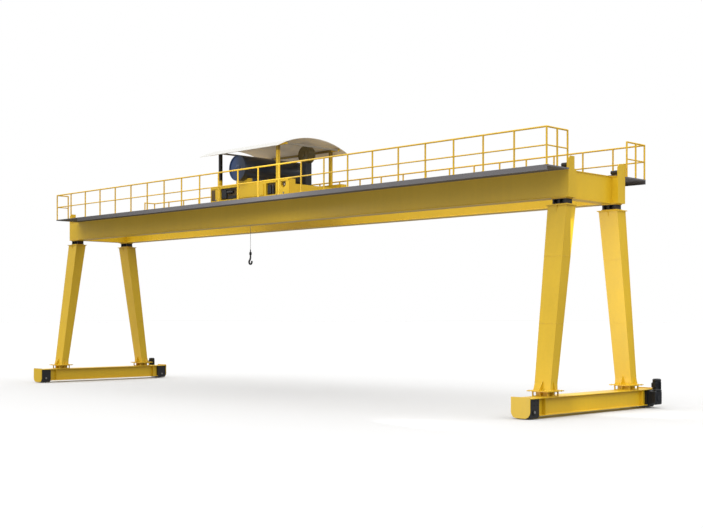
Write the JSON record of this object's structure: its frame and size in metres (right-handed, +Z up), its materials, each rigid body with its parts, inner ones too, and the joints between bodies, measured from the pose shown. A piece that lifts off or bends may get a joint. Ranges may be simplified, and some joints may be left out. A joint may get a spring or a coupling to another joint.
{
  "type": "double-girder gantry crane",
  "caption": "Rail-mounted double-girder gantry crane with leaning box legs, end carriages, walkways with handrails, and a roofed hoist trolley with a hook.",
  "frame": {"origin": "on the floor, midway between the two leg frames and midway between the girders", "axes": "+Z up, +X along the girders, -Y towards the near side"},
  "size_m": [27.48, 6.64, 9.5219],
  "materials": {
    "yellow_paint": "gloss paint",
    "handrail_yellow": "gloss paint",
    "walkway_grey": "satin paint",
    "rail_steel": "rolled, worn bright on top",
    "buffer_rubber": "matt",
    "wheel_iron": "dark, worn tread",
    "drive_black": "satin paint",
    "drum_blue": "gloss paint",
    "housing_black": "satin paint",
    "case_brown": "satin paint",
    "roof_sheet": "light painted sheet",
    "rope_steel": "stranded wire",
    "hook_black": "forged, black"
  },
  "bodies": {
    "gantry": {"end_stop_buffers": "buffer_rubber", "far_girder": "yellow_paint", "far_handrail": "handrail_yellow", "far_left_end_rail": "handrail_yellow", "far_left_leg": "yellow_paint", "far_right_end_rail": "handrail_yellow", "far_right_leg": "yellow_paint", "far_trolley_rail": "rail_steel", "far_walkway": "walkway_grey", "left_cross_beam": "yellow_paint", "left_end_carriage": "yellow_paint", "left_travel_drive": "drive_black", "leg_foot_blocks": "yellow_paint", "leg_head_blocks": "housing_black", "leg_head_plates": "yellow_paint", "near_girder": "yellow_paint", "near_handrail": "handrail_yellow", "near_left_end_rail": "handrail_yellow", "near_left_leg": "yellow_paint", "near_right_end_rail": "handrail_yellow", "near_right_leg": "yellow_paint", "near_trolley_rail": "rail_steel", "near_walkway": "walkway_grey", "right_cross_beam": "yellow_paint", "right_end_carriage": "yellow_paint", "right_travel_drive": "drive_black", "trolley_end_stops": "yellow_paint", "wheel_housings": "housing_black"},
    "near_left_ground_wheel": {"near_left_ground_wheel": "wheel_iron"},
    "near_right_ground_wheel": {"near_right_ground_wheel": "wheel_iron"},
    "far_left_ground_wheel": {"far_left_ground_wheel": "wheel_iron"},
    "far_right_ground_wheel": {"far_right_ground_wheel": "wheel_iron"},
    "trolley": {"trolley_frame": "yellow_paint", "hoist_drum_housing": "drum_blue", "drum_saddles": "yellow_paint", "hoist_gear_case": "case_brown", "canopy_frame": "yellow_paint", "canopy_roof": "roof_sheet", "hoist_rope": "rope_steel"},
    "near_left_trolley_wheel": {"near_left_trolley_wheel": "wheel_iron"},
    "near_right_trolley_wheel": {"near_right_trolley_wheel": "wheel_iron"},
    "far_left_trolley_wheel": {"far_left_trolley_wheel": "wheel_iron"},
    "far_right_trolley_wheel": {"far_right_trolley_wheel": "wheel_iron"},
    "hook_head": {"hook_head": "hook_black"},
    "crane_hook": {"crane_hook": "hook_black"}
  },
  "joints": [
    {"name": "near_left_ground_wheel_turn", "type": "hinge", "parent": "gantry", "child": "near_left_ground_wheel", "pos_m": [-13.1, -3.08, 0.195], "axis": [1, 0, 0], "continuous": true},
    {"name": "near_right_ground_wheel_turn", "type": "hinge", "parent": "gantry", "child": "near_right_ground_wheel", "pos_m": [13.1, -3.08, 0.195], "axis": [1, 0, 0], "continuous": true},
    {"name": "far_left_ground_wheel_turn", "type": "hinge", "parent": "gantry", "child": "far_left_ground_wheel", "pos_m": [-13.1, 3.08, 0.195], "axis": [1, 0, 0], "continuous": true},
    {"name": "far_right_ground_wheel_turn", "type": "hinge", "parent": "gantry", "child": "far_right_ground_wheel", "pos_m": [13.1, 3.08, 0.195], "axis": [1, 0, 0], "continuous": true},
    {"name": "trolley_travel", "type": "slide", "parent": "gantry", "child": "trolley", "axis": [1, 0, 0], "range_m": [-9.8, 11.7]},
    {"name": "near_left_trolley_wheel_turn", "type": "hinge", "parent": "trolley", "child": "near_left_trolley_wheel", "pos_m": [-2.91, -1.305, 7.4003], "axis": [0, 1, 0], "continuous": true},
    {"name": "near_right_trolley_wheel_turn", "type": "hinge", "parent": "trolley", "child": "near_right_trolley_wheel", "pos_m": [1.03, -1.305, 7.4003], "axis": [0, 1, 0], "continuous": true},
    {"name": "far_left_trolley_wheel_turn", "type": "hinge", "parent": "trolley", "child": "far_left_trolley_wheel", "pos_m": [-2.91, 1.305, 7.4003], "axis": [0, 1, 0], "continuous": true},
    {"name": "far_right_trolley_wheel_turn", "type": "hinge", "parent": "trolley", "child": "far_right_trolley_wheel", "pos_m": [1.03, 1.305, 7.4003], "axis": [0, 1, 0], "continuous": true},
    {"name": "hook_lift", "type": "slide", "parent": "trolley", "child": "hook_head", "axis": [0, 0, 1], "range_m": [-4.3, 1.5], "deforming": ["hoist_rope"]},
    {"name": "hook_swivel", "type": "hinge", "parent": "hook_head", "child": "crane_hook", "pos_m": [-1.75, -0.68, 5.27], "axis": [0, 0, 1], "continuous": true}
  ]
}
